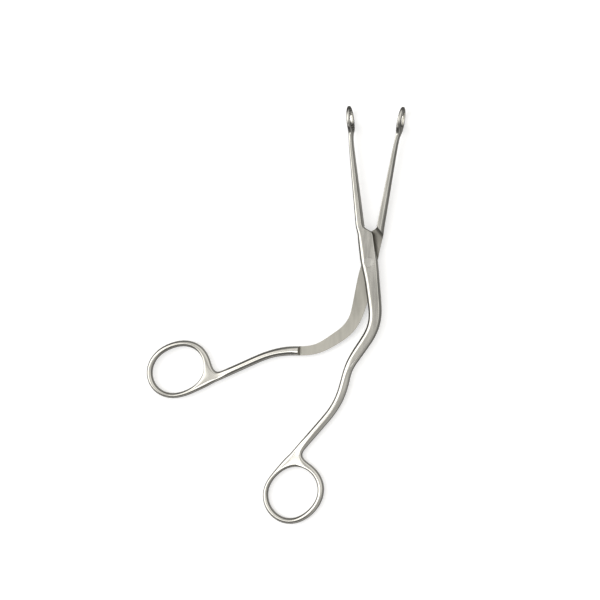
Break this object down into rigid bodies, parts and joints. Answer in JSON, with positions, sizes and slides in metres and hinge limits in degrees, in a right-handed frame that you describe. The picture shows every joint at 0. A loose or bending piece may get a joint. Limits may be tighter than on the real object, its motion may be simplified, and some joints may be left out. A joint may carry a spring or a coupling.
{
  "type": "magill forceps",
  "caption": "Open Magill forceps with angled arms, offset finger rings, a lapped rivet joint and fenestrated, serrated oval tips.",
  "frame": {"origin": "on the rivet's axis, at the back face of the lap joint", "axes": "+Z along the rivet's axis from the back face to the front face, +Y the line in which the jaws close, +X to the right of the closing line as seen from the front"},
  "size_m": [0.1534, 0.2453, 0.01],
  "materials": {
    "satin_steel": "satin",
    "rivet_steel": "satin"
  },
  "bodies": {
    "front": {"front_half": "satin_steel", "pivot_rivet": "rivet_steel"},
    "rear": {"rear_half": "satin_steel"}
  },
  "joints": [
    {"name": "rivet_hinge", "type": "hinge", "parent": "front", "child": "rear", "pos_m": [0, 0, 0], "axis": [0, 0, 1], "range_deg": [-40, 19.4]}
  ]
}
